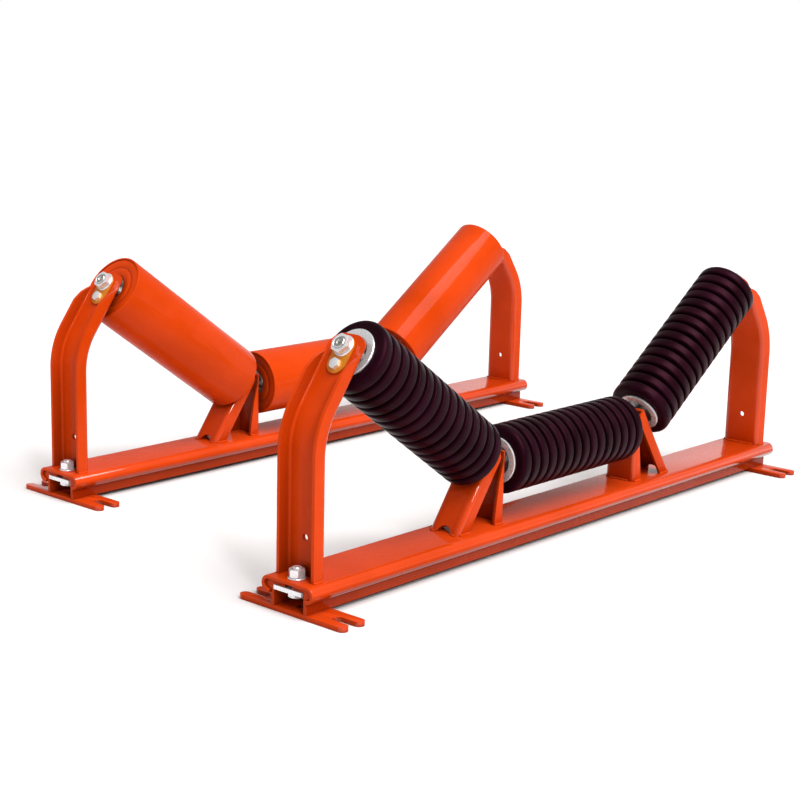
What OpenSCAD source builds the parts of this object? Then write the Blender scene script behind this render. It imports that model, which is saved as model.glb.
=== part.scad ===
// Troughing idler set: two slide-out trough idlers, one with plain steel rolls and
// one with rubber disc impact rolls. X runs along each idler, Y along the belt,
// Z up from the floor. The origin is on the floor midway between the two idlers.

/* [Set] */
// Distance between the two idlers along the belt
set_spacing = 775; // [300:5:1500]
// How far the steel idler stands to the right of the rubber one
set_stagger = 150; // [0:5:400]

/* [Rolls] */
// Face length of every roll
roll_len = 380; // [340:5:420]
// Angle of the wing rolls above level
trough_angle = 35; // [30:1:38]
// Height of the centre roll's axis above the base
axis_h = 105; // [100:1:125]
// Wing roll's inner end beyond the centre roll's end, level
wing_out = 63.5; // [62:0.5:72]
// Wing roll's inner end above the centre roll's axis
wing_up = 19.5; // [17:0.5:24]
// Gap between a roll's end and the stand's plate
end_gap = 10; // [8:0.5:12]

/* [Steel rolls] */
// Outer diameter of the steel roll
steel_roll_d = 133; // [108:1:140]
// Wall of the steel roll's tube
steel_tube_t = 4; // [3:0.5:6]
// Depth of the end cover's face below the tube's end
cover_inset = 1.5; // [1:0.5:4]
// Length of the end cover's rim inside the tube
cover_rim = 14; // [8:1:20]

/* [Impact rolls] */
// Outer diameter of the rubber discs
disc_d = 124; // [108:1:140]
// Diameter of the solid hub part of a disc
disc_hub_d = 94; // [84:1:100]
// Number of discs on a roll
disc_count = 15; // [13:1:17]
// Width of the groove between two disc treads
groove_w = 7; // [4:0.5:9]
// Radius on the tread's edges
tread_r = 3.5; // [1:0.5:5]
// Radius of the end discs' outer shoulder
shoulder_r = 9; // [5:1:12]
// Outer diameter of the core tube
core_d = 63.5; // [62:0.5:70]
// Outer diameter of the retaining end ring
end_ring_d = 84; // [72:1:90]
// Thickness of the end ring
end_ring_t = 4; // [2:0.5:6]
// Bore of the end ring
end_ring_bore = 58; // [50:1:60]

/* [Bearings and shafts] */
// Shaft diameter, which is the bearing's bore
shaft_d = 25; // [25:0.5:27]
// Threaded end of the shaft
thread_d = 20; // [16:1:20]
// Outer diameter of the bearing
bearing_d = 52; // [52:0.5:54]
// Width of the bearing
bearing_w = 15; // [12:0.5:18]
// Circle through the balls' centres
pitch_d = 38.5; // [38:0.5:40]
// Ball diameter
ball_d = 7.94; // [7:0.01:8.2]
// Number of balls in a bearing
ball_count = 9; // [6:1:9]
// Free play round a ball
ball_play = 0.4; // [0.1:0.05:0.5]
// Depth of the bearing below the roll's end
bearing_inset = 16; // [14:0.5:24]
// Wall of the pressed bearing housing
housing_t = 2.5; // [2:0.5:3]
// Thickness of the seal
seal_t = 3; // [2:0.5:4]
// Width of the retaining ring on the shaft
circlip_t = 1.5; // [1:0.1:2]

/* [Frame] */
// Distance between the end stands' inner faces at the base
stand_spacing = 1310; // [1300:5:1340]
// Plate thickness of the base, stands and rail
plate_t = 6; // [5:0.5:7]
// Overall length of the sliding base
base_len = 1400; // [1380:5:1450]
// Overall width of the sliding base
base_w = 113; // [108:1:124]
// Outer radius of the base's curled edges
lip_r = 14; // [13:0.5:16]
// Straight return at the end of the curl
lip_return = 3; // [1:0.5:3.5]
// Free gap all round between base and rail
slide_gap = 0.3; // [0.2:0.1:1]
// Width of an end stand
stand_w = 82; // [74:1:90]
// Depth of an end stand's flanges
stand_depth = 28; // [22:1:34]
// Fold radius of the stands, outside
fold_r = 11; // [8:0.5:12]
// Radius of the end stand's bend, at its inner face
bend_r = 120; // [90:5:140]
// Radius of the flanges' outer edge at the top of an end stand
crown_r = 130; // [110:5:160]
// Plate above the shaft's axis at the top of every stand
tip_over = 24; // [22:1:28]
// Hole low in the end stand
stand_hole_d = 11; // [6:0.5:14]
// Height of that hole above the base
stand_hole_h = 62; // [40:1:90]

/* [Centre stands] */
// Width of the centre stands' legs
leg_w = 64; // [56:1:76]
// Fold radius of the legs, outside
leg_fold_r = 8; // [7.5:0.5:11]
// Depth of the sloped leg's flanges
wing_leg_depth = 26; // [20:1:28]
// Depth of the upright leg's flanges at the base
centre_leg_depth = 28; // [22:1:30]
// Height over which the upright leg's flanges narrow
leg_taper_h = 38; // [24:1:38]
// Radius of the drain cut-out at the sloped leg's foot
drain_r = 10; // [5:0.5:14]

/* [Rail and feet] */
// Width of the fixed rail over its legs
rail_w = 76; // [70:1:78]
// Height of the rail above the feet
rail_h = 42; // [40:1:50]
// Length of the rail
rail_len = 1392; // [1370:2:1440]
// Thickness of the foot plates
foot_t = 8; // [6:1:12]
// Distance between the two foot plates' centres
foot_spacing = 1336; // [1320:2:1340]
// Width of a foot plate along the idler
foot_w = 55; // [50:1:60]
// Length of a foot plate across the idler
foot_len = 232; // [200:2:280]
// Width of the open slot at each end
slot_w = 18; // [14:1:22]
// Depth of the open slot
slot_len = 46; // [30:1:48]
// Hole in the middle of a foot plate
foot_hole_d = 14; // [10:1:18]

/* [Fasteners] */
// Nut size across flats on the shafts
nut_af = 30; // [27:1:32]
// Height of the outer shaft nuts
nut_h = 11; // [10:1:18]
// Height of the thin nuts at the inner shaft ends
thin_nut_h = 10; // [8:0.5:11]
// Outer diameter of the shaft washers
washer_d = 37; // [34:1:40]
// Thickness of the washers
washer_t = 2.5; // [2:0.5:4]
// Thread left beyond a nut
thread_over = 1.5; // [1:0.5:3.5]
// Thickness of the keeper plate
keeper_t = 4; // [3:0.5:6]
// Width of the keeper plate
keeper_w = 38; // [36:1:46]
// Keeper bolt's distance below the shaft
keeper_pitch = 32; // [30:1:46]
// Keeper bolt diameter
keeper_bolt_d = 10; // [8:1:10]
// Clamp bolt diameter
clamp_bolt_d = 16; // [12:1:18]
// Clamp bolt's distance outside the stand's inner face
clamp_out = 23; // [22:1:26]
// Thickness of the clamp plate
clamp_plate_t = 7; // [5:0.5:9]
// Length of the clamp plate along the rail
clamp_plate_len = 42; // [34:1:46]
// Free gap between the clamp plate and the rail's legs
clamp_side_gap = 2; // [1:0.5:4]

/* [Fits] */
// Radial gap of pieces seated on each other
seat_gap = 0.05; // [0.02:0.01:0.1]
// Radial gap of bolts and shaft ends in their holes
hole_gap = 0.4; // [0.2:0.1:1]
// Radial gap between seal and shaft
seal_gap = 0.5; // [0.3:0.1:1]

/* [Hidden] */
$fn = 96;

// The two idlers and the three roll places
PLAIN = 1;
IMPACT = -1;
LEFT = -1;
CENTRE = 0;
RIGHT = 1;
ALL_PLACES = [LEFT, CENTRE, RIGHT];

// Heights of the frame, from the floor up
rail_top = foot_t + rail_h;
base_under = rail_top + slide_gap;
base_top = base_under + plate_t;
axis_z = base_top + axis_h;

// Curled edge of the base and the rail's runner inside it
curl_y = base_w / 2 - lip_r;
curl_z = base_top - lip_r;
runner_r = lip_r - plate_t - slide_gap;

// Right wing roll: inner end, outer end, and where its axis meets the end stand
c_a = cos(trough_angle);
s_a = sin(trough_angle);
wing_x = roll_len / 2 + wing_out;
wing_z = axis_z + wing_up;
stand_face = end_gap + roll_len;
top_x = wing_x + stand_face * c_a;
top_z = wing_z + stand_face * s_a;

// End stand: upright up to bend_z, then a bend about bend_x, then straight to the tip
stand_x = stand_spacing / 2;
bend_x = stand_x - bend_r;
bend_z = top_z - (bend_r - (top_x - bend_x) * c_a) / s_a;
tip_axis = -(top_x - bend_x) * s_a + (top_z - bend_z) * c_a;
tip_r = stand_w / 2 - fold_r;
crown_x = stand_x + stand_depth - crown_r;
crown_drop = tip_r - tip_over + 4;
crown_px = top_x + plate_t * c_a + crown_drop * s_a;
crown_pz = top_z + plate_t * s_a - crown_drop * c_a;
crown_z = crown_pz - sqrt(pow(crown_r, 2) - pow(crown_px - crown_x, 2));

// Steel roll and bearing radii
steel_bore_r = steel_roll_d / 2 - steel_tube_t;
cup_r = bearing_d / 2 + seat_gap;
core_bore_r = cup_r + housing_t + seat_gap;
ball_r = (ball_d - ball_play) / 2;
groove_r = (ball_d + ball_play) / 2;
pocket_r = ball_r + seat_gap;
ring_in_r = pitch_d / 2 - ball_d / 4;
ring_out_r = pitch_d / 2 + ball_d / 4;
cage_t = ball_d / 4;
cage_w = ball_d + 2;
disc_pitch = (roll_len - 2 * end_ring_t) / disc_count;
disc_edge_h = (disc_d - disc_hub_d) / 2;

// Fastener places
thread_hole_d = thread_d + 2 * hole_gap;
clamp_x = -(stand_x + clamp_out);
clamp_af = 1.5 * clamp_bolt_d;
clamp_nut_h = 0.85 * clamp_bolt_d;
clamp_head_h = 0.65 * clamp_bolt_d;
clamp_top = rail_top - plate_t - slide_gap;
keeper_af = 1.7 * keeper_bolt_d;
keeper_head_h = 0.65 * keeper_bolt_d;

// ---------- places ----------

// Puts children at one of the two idlers
module at_idler(which)
  translate([which * set_stagger / 2, which * set_spacing / 2, 0]) children();

// Puts children at a roll, with their Z along its axis and z = 0 at its left or inner end
module at_roll(place) {
  if (place == CENTRE)
    translate([-roll_len / 2, 0, axis_z]) rotate([0, 90, 0]) children();
  else
    mirror([place == LEFT ? 1 : 0, 0, 0])
      translate([wing_x, 0, wing_z]) rotate([0, 90 - trough_angle, 0]) children();
}

// Puts children at both ends of a roll, with z = 0 at the end and +z going inwards
module at_roll_ends() {
  children();
  translate([0, 0, roll_len]) mirror([0, 0, 1]) children();
}

// Right end stand's tip: X out along the roll's axis from the plate's inner face,
// Z up the stand's slope, with the shaft's axis at z = 0
module at_tip()
  translate([top_x, 0, top_z]) rotate([0, -trough_angle, 0]) children();

// Repeats children on the left and the right
module both_sides() {
  children();
  mirror([1, 0, 0]) children();
}

// Extrudes a YZ outline along X, centred
module along_x(len)
  rotate([90, 0, 90]) translate([0, 0, -len / 2]) linear_extrude(len) children();

// Extrudes an XZ outline along Y, centred
module along_y(len)
  rotate([90, 0, 0]) translate([0, 0, -len / 2]) linear_extrude(len) children();

// ---------- shared shapes ----------

// Folded channel: its back lies along Y at x = 0 and the flanges point to +x
module channel(w, depth, r) {
  difference() {
    union() {
      translate([r, -w / 2]) square([depth - r, w]);
      translate([0, r - w / 2]) square([depth, w - 2 * r]);
      for (s = [-1, 1]) translate([r, s * (w / 2 - r)]) circle(r);
    }
    translate([r, plate_t - w / 2]) square([depth, w - 2 * plate_t]);
    translate([plate_t, r - w / 2]) square([depth, w - 2 * r]);
    for (s = [-1, 1]) translate([r, s * (w / 2 - r)]) circle(r - plate_t);
  }
}

// Ring about Z
module ring(r_in, r_out, h)
  difference() {
    cylinder(h = h, r = r_out);
    translate([0, 0, -1]) cylinder(h = h + 2, r = r_in);
  }

// Hexagon body with chamfered corners, standing on z = 0
module hex_body(af, h) {
  corner_r = af / sqrt(3);
  chamfer = corner_r - af / 2;
  intersection() {
    cylinder(h = h, r = corner_r, $fn = 6);
    rotate_extrude() polygon([
      [0, 0], [corner_r, 0], [corner_r, h - chamfer], [af / 2, h], [0, h]
    ]);
  }
}

// Hexagon nut with its bore
module nut(af, h, d)
  difference() {
    hex_body(af, h);
    translate([0, 0, -1]) cylinder(h = h + 2, r = d / 2 + seat_gap);
  }

// ---------- rail and feet ----------

// Inverted channel whose top edges are round-nosed runners, with the clamp bolt's
// open notch at the left end
module rail() {
  notch_r = clamp_bolt_d / 2 + hole_gap;
  color("orangered") difference() {
    along_x(rail_len) {
      translate([-rail_w / 2, rail_top - plate_t]) square([rail_w, plate_t]);
      for (s = [0, 1]) mirror([s, 0]) {
        translate([rail_w / 2 - plate_t, foot_t]) square([plate_t, rail_h]);
        translate([rail_w / 2 - plate_t, curl_z - runner_r])
          square([curl_y - rail_w / 2 + plate_t, 2 * runner_r]);
        translate([curl_y, curl_z]) circle(runner_r);
      }
    }
    translate([clamp_x, 0, rail_top - plate_t - 1]) cylinder(h = plate_t + 2, r = notch_r);
    translate([clamp_x - rail_len, -notch_r, rail_top - plate_t - 1])
      cube([rail_len, 2 * notch_r, plate_t + 2]);
  }
}

// One foot plate: flat bar with an open slot at both ends and a middle hole
module foot() {
  prong_w = (foot_w - slot_w) / 2;
  linear_extrude(foot_t) difference() {
    union() {
      square([foot_w, foot_len - prong_w], center = true);
      for (sx = [-1, 1], sy = [-1, 1])
        translate([sx * (foot_w - prong_w) / 2, sy * (foot_len - prong_w) / 2])
          circle(prong_w / 2);
    }
    for (s = [-1, 1]) {
      translate([0, s * (foot_len / 2 - slot_len + slot_w / 2)]) circle(slot_w / 2);
      translate([-slot_w / 2, s > 0 ? foot_len / 2 - slot_len + slot_w / 2 : -foot_len])
        square([slot_w, foot_len / 2 + slot_len - slot_w / 2]);
    }
    circle(foot_hole_d / 2);
  }
}

module feet()
  color("orangered") both_sides() translate([foot_spacing / 2, 0, 0]) foot();

// ---------- sliding frame ----------

// Wide flat base whose long edges curl down and under round the rail's runners
module slide_base() {
  color("orangered") difference() {
    along_x(base_len) {
      translate([-curl_y, base_under]) square([2 * curl_y, plate_t]);
      for (s = [0, 1]) mirror([s, 0]) {
        translate([curl_y, curl_z]) difference() {
          circle(lip_r);
          circle(lip_r - plate_t);
          translate([-2 * lip_r, -2 * lip_r]) square([2 * lip_r, 4 * lip_r]);
        }
        translate([curl_y - lip_return, curl_z - lip_r]) square([lip_return, plate_t]);
      }
    }
    translate([clamp_x, 0, base_under - 1])
      cylinder(h = plate_t + 2, r = clamp_bolt_d / 2 + hole_gap);
  }
}

// Outline of the right end stand's flanges, in X and Z: upright, then a crown arc
module stand_outline() {
  translate([0, base_top]) square([stand_x + stand_depth, crown_z - base_top]);
  translate([0, crown_z]) square([crown_x, 2 * crown_r]);
  translate([crown_x, crown_z]) circle(crown_r);
}

// Back of a channel, without its flanges
module channel_back(w)
  intersection() {
    channel(w, 2 * plate_t + fold_r, fold_r);
    translate([-1, -w]) square([plate_t + 1, 2 * w]);
  }

// Side view within a distance of the inner face of the right end stand's back
module behind_back(out) {
  translate([0, base_top]) square([stand_x + out, bend_z - base_top]);
  translate([bend_x, bend_z]) {
    intersection() {
      circle(bend_r + out);
      square(2 * bend_r);
    }
    rotate(trough_angle) translate([-bend_r, 0]) square([2 * bend_r + out, tip_axis + 1]);
  }
}

// Side view of the stand's three lengths: upright, bent and leaning
module stand_reach() {
  translate([0, base_top]) square([stand_x + stand_depth, bend_z - base_top]);
  translate([bend_x, bend_z]) {
    intersection() {
      circle(3 * bend_r);
      polygon([[0, 0], [3 * bend_r, 0], 3 * bend_r * [c_a, s_a]]);
    }
    rotate(trough_angle) square([2 * bend_r, tip_axis]);
  }
}

// Plan of the end stand's tip, with its shaft's axis at the origin: rounded corners
module tip_plan() {
  over = stand_w / 2 + 1;
  translate([tip_r - tip_over, -over]) square([2 * tip_axis, 2 * over]);
  translate([-tip_over, tip_r - stand_w / 2]) square([tip_r, stand_w - 2 * tip_r]);
  for (s = [-1, 1]) translate([tip_r - tip_over, s * (stand_w / 2 - tip_r)]) circle(tip_r);
}

// What the two folds take off the corners of the stand's section
module fold_corners()
  for (s = [0, 1]) mirror([0, s]) difference() {
    translate([-1, -stand_w / 2 - 1]) square(fold_r + 1);
    translate([fold_r, fold_r - stand_w / 2]) circle(fold_r);
  }

// Right end stand: a pressed channel, upright and then bent inwards as a gooseneck,
// its back square to the wing roll at the top, its flanges cut to a crown arc
module end_stand()
  color("orangered") difference() {
    union() {
      for (s = [0, 1]) mirror([0, s, 0]) translate([0, (stand_w - plate_t) / 2, 0])
        along_y(plate_t) intersection() {
          difference() {
            stand_outline();
            behind_back(0);
          }
          stand_reach();
        }
      along_y(stand_w - plate_t) intersection() {
        difference() {
          behind_back(plate_t);
          behind_back(0);
        }
        stand_reach();
      }
      intersection() {
        translate([bend_x, 0, bend_z]) rotate([0, -trough_angle, 0])
          translate([bend_r, 0, 0])
            linear_extrude(tip_axis + tip_over + 1) channel_back(stand_w);
        at_tip() translate([-1, 0, 0]) rotate([0, 90, 0])
          linear_extrude(plate_t + 2) tip_plan();
      }
    }
    at_tip() translate([-1, 0, 0]) rotate([0, 90, 0]) {
      cylinder(h = plate_t + 2, r = thread_hole_d / 2);
      translate([keeper_pitch, 0, 0])
        cylinder(h = plate_t + 2, r = keeper_bolt_d / 2 + seat_gap);
    }
    translate([stand_x - 1, 0, base_top + stand_hole_h]) rotate([0, 90, 0])
      cylinder(h = plate_t + 2, r = stand_hole_d / 2);
    translate([stand_x, 0, base_top - 1]) linear_extrude(bend_z - base_top + 1) fold_corners();
  }

// Right sloped leg: a channel square to the wing roll, cut level on the base
module wing_leg() {
  leg_len = (wing_z - base_top) / c_a + wing_leg_depth;
  drain_x = wing_x - end_gap * c_a + (wing_z - end_gap * s_a - base_top) * s_a / c_a;
  color("orangered") difference() {
    translate([wing_x, 0, wing_z]) rotate([0, -trough_angle, 0])
      translate([-end_gap, 0, -leg_len - leg_w]) mirror([1, 0, 0])
        linear_extrude(leg_len + leg_w + tip_over) channel(leg_w, wing_leg_depth, leg_fold_r);
    translate([0, -leg_w, base_top - 4 * leg_w]) cube([2 * stand_x, 2 * leg_w, 4 * leg_w]);
    translate([wing_x, 0, wing_z]) rotate([0, 90 - trough_angle, 0])
      translate([0, 0, -end_gap - plate_t - 1]) cylinder(h = plate_t + 2, r = thread_hole_d / 2);
    translate([drain_x, 0, base_top]) rotate([0, 90 - trough_angle, 0])
      cylinder(h = 3 * plate_t, r = drain_r, center = true);
  }
}

// Right upright leg: a channel whose flanges narrow upwards to clear the centre roll
module centre_leg() {
  leg_x = roll_len / 2 + end_gap;
  back_x = leg_x + plate_t;
  narrow = end_gap - 1;
  leg_top = axis_z + tip_over;
  color("orangered") difference() {
    intersection() {
      translate([back_x, 0, base_top]) mirror([1, 0, 0])
        linear_extrude(leg_top - base_top) channel(leg_w, centre_leg_depth, leg_fold_r);
      along_y(leg_w + 2) polygon([
        [back_x + 1, base_top], [back_x - centre_leg_depth, base_top],
        [back_x - plate_t - narrow, base_top + leg_taper_h],
        [back_x - plate_t - narrow, axis_z - steel_roll_d / 4],
        [leg_x - 1, axis_z], [leg_x - 1, leg_top], [back_x + 1, leg_top]
      ]);
    }
    translate([leg_x - 1, 0, axis_z]) rotate([0, 90, 0])
      cylinder(h = plate_t + 2, r = thread_hole_d / 2);
  }
}

// ---------- clamp ----------

// Clamp bolt, head down under the clamp plate inside the rail
module clamp_bolt() {
  head_top = clamp_top - clamp_plate_t;
  bolt_top = base_top + washer_t + clamp_nut_h + 2 * thread_over;
  color("gainsboro") translate([clamp_x, 0, head_top]) {
    mirror([0, 0, 1]) hex_body(clamp_af, clamp_head_h);
    cylinder(h = bolt_top - head_top, r = clamp_bolt_d / 2);
  }
}

// Washer and nut of the clamp bolt on top of the base
module clamp_nut()
  color("gainsboro") translate([clamp_x, 0, base_top]) {
    ring(clamp_bolt_d / 2 + hole_gap, clamp_af * 0.62, washer_t);
    translate([0, 0, washer_t + seat_gap]) nut(clamp_af, clamp_nut_h, clamp_bolt_d);
  }

// Plate that the bolt pulls up against the rail's top from below
module clamp_plate() {
  plate_w = rail_w - 2 * plate_t - 2 * clamp_side_gap;
  color("slategray") translate([clamp_x, 0, clamp_top - clamp_plate_t]) difference() {
    translate([-clamp_plate_len / 2, -plate_w / 2, 0])
      cube([clamp_plate_len, plate_w, clamp_plate_t]);
    translate([0, 0, -1]) cylinder(h = clamp_plate_t + 2, r = clamp_bolt_d / 2 + hole_gap);
  }
}

// ---------- shafts and their fasteners ----------

// Shaft of the roll at a place, z = 0 at the roll's left or inner end
module shaft(place) {
  inner_end = end_gap + plate_t + thin_nut_h + thread_over;
  outer_end = place == CENTRE ? inner_end
    : end_gap + plate_t + keeper_t + washer_t + nut_h + thread_over;
  difference() {
    union() {
      translate([0, 0, -end_gap]) cylinder(h = roll_len + 2 * end_gap, r = shaft_d / 2);
      translate([0, 0, -inner_end])
        cylinder(h = roll_len + inner_end + outer_end, r = thread_d / 2);
    }
    at_roll_ends() translate([0, 0, bearing_inset - circlip_t])
      ring(shaft_d / 2 - 1, shaft_d, circlip_t);
  }
}

module shafts()
  color("slategray") for (p = ALL_PLACES) at_roll(p) shaft(p);

// Thin nuts at the inner shaft ends, full nuts with washers over the keepers
module shaft_nuts() {
  seat = end_gap + plate_t;
  color("gainsboro") {
    for (p = ALL_PLACES) at_roll(p)
      translate([0, 0, -seat]) mirror([0, 0, 1]) nut(nut_af, thin_nut_h, thread_d);
    at_roll(CENTRE) translate([0, 0, roll_len + seat]) nut(nut_af, thin_nut_h, thread_d);
    for (p = [LEFT, RIGHT]) at_roll(p) translate([0, 0, roll_len + seat + keeper_t]) {
      ring(thread_d / 2 + hole_gap, washer_d / 2, washer_t);
      translate([0, 0, washer_t + seat_gap]) nut(nut_af, nut_h, thread_d);
    }
  }
}

// Keeper plate with round ends on the outside of each end stand's tip
module keeper_plates()
  color("goldenrod") both_sides() at_tip() translate([plate_t, 0, 0]) rotate([0, 90, 0])
    linear_extrude(keeper_t) difference() {
      union() {
        circle(keeper_w / 2);
        translate([0, -keeper_w / 2]) square([keeper_pitch - 4, keeper_w]);
        translate([keeper_pitch - 4, 0]) circle(keeper_w / 2);
      }
      circle(thread_hole_d / 2);
      translate([keeper_pitch, 0]) circle(keeper_bolt_d / 2 + hole_gap);
    }

// Small bolt that holds each keeper plate to its stand
module keeper_bolts()
  color("gainsboro") both_sides() at_tip() translate([0, 0, -keeper_pitch]) rotate([0, 90, 0]) {
    cylinder(h = plate_t + keeper_t + 1, r = keeper_bolt_d / 2);
    translate([0, 0, plate_t + keeper_t]) hex_body(keeper_af, keeper_head_h);
  }

// Inner bearing rings with their ball groove, and the retaining rings outside them
module shaft_rings()
  color("slategray") for (p = ALL_PLACES) at_roll(p) at_roll_ends() {
    translate([0, 0, bearing_inset]) difference() {
      ring(shaft_d / 2 + seat_gap, ring_in_r, bearing_w);
      ball_groove();
    }
    translate([0, 0, bearing_inset - circlip_t + seat_gap])
      ring(shaft_d / 2 - 1 + seat_gap, shaft_d / 2 + 3, circlip_t - 2 * seat_gap);
  }

// ---------- bearings ----------

// Room that the balls run in, at mid width of a bearing that starts at z = 0
module ball_groove()
  translate([0, 0, bearing_w / 2]) rotate_extrude()
    translate([pitch_d / 2, 0]) circle(groove_r, $fn = 48);

// Outer bearing rings and the seals in front of them
module outer_rings(place)
  color("slategray") at_roll(place) at_roll_ends() {
    translate([0, 0, bearing_inset]) difference() {
      ring(ring_out_r, bearing_d / 2, bearing_w);
      ball_groove();
    }
    translate([0, 0, bearing_inset - circlip_t - 1 - seal_t])
      ring(shaft_d / 2 + seal_gap, bearing_d / 2, seal_t);
  }

// Ball cages with their balls
module cage(place)
  color("silver") at_roll(place) at_roll_ends() translate([0, 0, bearing_inset + bearing_w / 2]) {
    difference() {
      translate([0, 0, -cage_w / 2])
        ring(pitch_d / 2 - cage_t / 2, pitch_d / 2 + cage_t / 2, cage_w);
      for (i = [0 : ball_count - 1]) rotate(i * 360 / ball_count)
        translate([pitch_d / 4, 0, 0]) rotate([0, 90, 0])
          cylinder(h = pitch_d / 2, r = pocket_r);
    }
    for (i = [0 : ball_count - 1]) rotate(i * 360 / ball_count)
      translate([pitch_d / 2, 0, 0]) sphere(ball_r);
  }

// ---------- steel rolls ----------

module steel_tube(place)
  color("orangered") at_roll(place) ring(steel_bore_r, steel_roll_d / 2, roll_len);

// Pressed end covers: rim in the tube, dished face, and the bearing's cup
module plain_housings(place) {
  rim_r = steel_bore_r - seat_gap;
  cup_end = bearing_inset + bearing_w;
  color("orangered") at_roll(place) at_roll_ends() rotate_extrude() difference() {
    union() {
      translate([cup_r, cover_inset]) square([rim_r - cup_r, housing_t]);
      translate([rim_r - housing_t, cover_inset]) square([housing_t, cover_rim]);
      translate([cup_r, cover_inset]) square([housing_t, cup_end - cover_inset]);
      translate([ring_out_r, cup_end]) square([cup_r + housing_t - ring_out_r, housing_t]);
    }
    // pressed swage ring in the cover's face
    translate([(cup_r + rim_r) / 2, cover_inset]) circle(housing_t / 2, $fn = 32);
  }
}

// ---------- impact rolls ----------

module core_tube(place)
  color("slategray") at_roll(place) translate([0, 0, end_ring_t])
    ring(core_bore_r, core_d / 2, roll_len - 2 * end_ring_t);

// One rubber disc: full width at the hub, a narrower round-edged tread outside
module disc() {
  tread_w = disc_pitch - groove_w;
  rotate_extrude() {
    translate([core_d / 2 + seat_gap, 0])
      square([(disc_hub_d - core_d) / 2, disc_pitch - seat_gap]);
    translate([disc_hub_d / 2 - 1, groove_w / 2]) {
      square([disc_edge_h + 1 - tread_r, tread_w]);
      translate([0, tread_r]) square([disc_edge_h + 1, tread_w - 2 * tread_r]);
      for (z = [tread_r, tread_w - tread_r])
        translate([disc_edge_h + 1 - tread_r, z]) circle(tread_r, $fn = 32);
    }
  }
}

// The disc at each end of a roll: no step outside its tread, and a round shoulder
module end_disc() {
  tread_w = disc_pitch - groove_w / 2;
  edge_r = disc_d / 2;
  rotate_extrude() {
    translate([core_d / 2 + seat_gap, 0])
      square([(disc_hub_d - core_d) / 2, disc_pitch - seat_gap]);
    translate([disc_hub_d / 2 - 1, 0]) {
      square([disc_edge_h + 1 - shoulder_r, tread_w]);
      translate([0, shoulder_r]) square([disc_edge_h + 1 - tread_r, tread_w - shoulder_r]);
      translate([0, shoulder_r]) square([disc_edge_h + 1, tread_w - shoulder_r - tread_r]);
    }
    translate([edge_r - shoulder_r, shoulder_r]) circle(shoulder_r);
    translate([edge_r - tread_r, tread_w - tread_r]) circle(tread_r, $fn = 32);
  }
}

module discs(place)
  color("dimgray") at_roll(place) {
    for (i = [1 : disc_count - 2]) translate([0, 0, end_ring_t + i * disc_pitch]) disc();
    at_roll_ends() translate([0, 0, end_ring_t]) end_disc();
  }

// Zinc-plated rings on the tube's ends that hold the discs together
module end_rings(place)
  color("gainsboro") at_roll(place) at_roll_ends()
    ring(end_ring_bore / 2, end_ring_d / 2, end_ring_t);

// Bearing cups pressed into the core tube, behind the end rings
module impact_housings(place) {
  cup_end = bearing_inset + bearing_w;
  color("slategray") at_roll(place) at_roll_ends() rotate_extrude() {
    translate([cup_r, end_ring_t]) square([housing_t, cup_end - end_ring_t]);
    translate([ring_out_r, cup_end]) square([cup_r + housing_t - ring_out_r, housing_t]);
  }
}

// ---------- nodes ----------

at_idler(PLAIN) rail();  // rail_plain
at_idler(IMPACT) rail();  // rail_impact
at_idler(PLAIN) feet();  // feet_plain
at_idler(IMPACT) feet();  // feet_impact
at_idler(PLAIN) slide_base();  // base_plain
at_idler(IMPACT) slide_base();  // base_impact
at_idler(PLAIN) mirror([1, 0, 0]) end_stand();  // end_stand_left_plain
at_idler(IMPACT) mirror([1, 0, 0]) end_stand();  // end_stand_left_impact
at_idler(PLAIN) end_stand();  // end_stand_right_plain
at_idler(IMPACT) end_stand();  // end_stand_right_impact
at_idler(PLAIN) both_sides() wing_leg();  // wing_legs_plain
at_idler(IMPACT) both_sides() wing_leg();  // wing_legs_impact
at_idler(PLAIN) both_sides() centre_leg();  // centre_legs_plain
at_idler(IMPACT) both_sides() centre_leg();  // centre_legs_impact
at_idler(PLAIN) clamp_bolt();  // clamp_bolt_plain
at_idler(IMPACT) clamp_bolt();  // clamp_bolt_impact
at_idler(PLAIN) clamp_nut();  // clamp_nut_plain
at_idler(IMPACT) clamp_nut();  // clamp_nut_impact
at_idler(PLAIN) clamp_plate();  // clamp_plate_plain
at_idler(IMPACT) clamp_plate();  // clamp_plate_impact
at_idler(PLAIN) shafts();  // shafts_plain
at_idler(IMPACT) shafts();  // shafts_impact
at_idler(PLAIN) shaft_nuts();  // shaft_nuts_plain
at_idler(IMPACT) shaft_nuts();  // shaft_nuts_impact
at_idler(PLAIN) keeper_plates();  // keeper_plates_plain
at_idler(IMPACT) keeper_plates();  // keeper_plates_impact
at_idler(PLAIN) keeper_bolts();  // keeper_bolts_plain
at_idler(IMPACT) keeper_bolts();  // keeper_bolts_impact
at_idler(PLAIN) shaft_rings();  // shaft_rings_plain
at_idler(IMPACT) shaft_rings();  // shaft_rings_impact
at_idler(PLAIN) steel_tube(LEFT);  // tube_left
at_idler(PLAIN) steel_tube(CENTRE);  // tube_centre
at_idler(PLAIN) steel_tube(RIGHT);  // tube_right
at_idler(PLAIN) plain_housings(LEFT);  // housings_plain_left
at_idler(PLAIN) plain_housings(CENTRE);  // housings_plain_centre
at_idler(PLAIN) plain_housings(RIGHT);  // housings_plain_right
at_idler(PLAIN) outer_rings(LEFT);  // outer_rings_plain_left
at_idler(PLAIN) outer_rings(CENTRE);  // outer_rings_plain_centre
at_idler(PLAIN) outer_rings(RIGHT);  // outer_rings_plain_right
at_idler(PLAIN) cage(LEFT);  // cage_plain_left
at_idler(PLAIN) cage(CENTRE);  // cage_plain_centre
at_idler(PLAIN) cage(RIGHT);  // cage_plain_right
at_idler(IMPACT) core_tube(LEFT);  // core_tube_left
at_idler(IMPACT) core_tube(CENTRE);  // core_tube_centre
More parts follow.
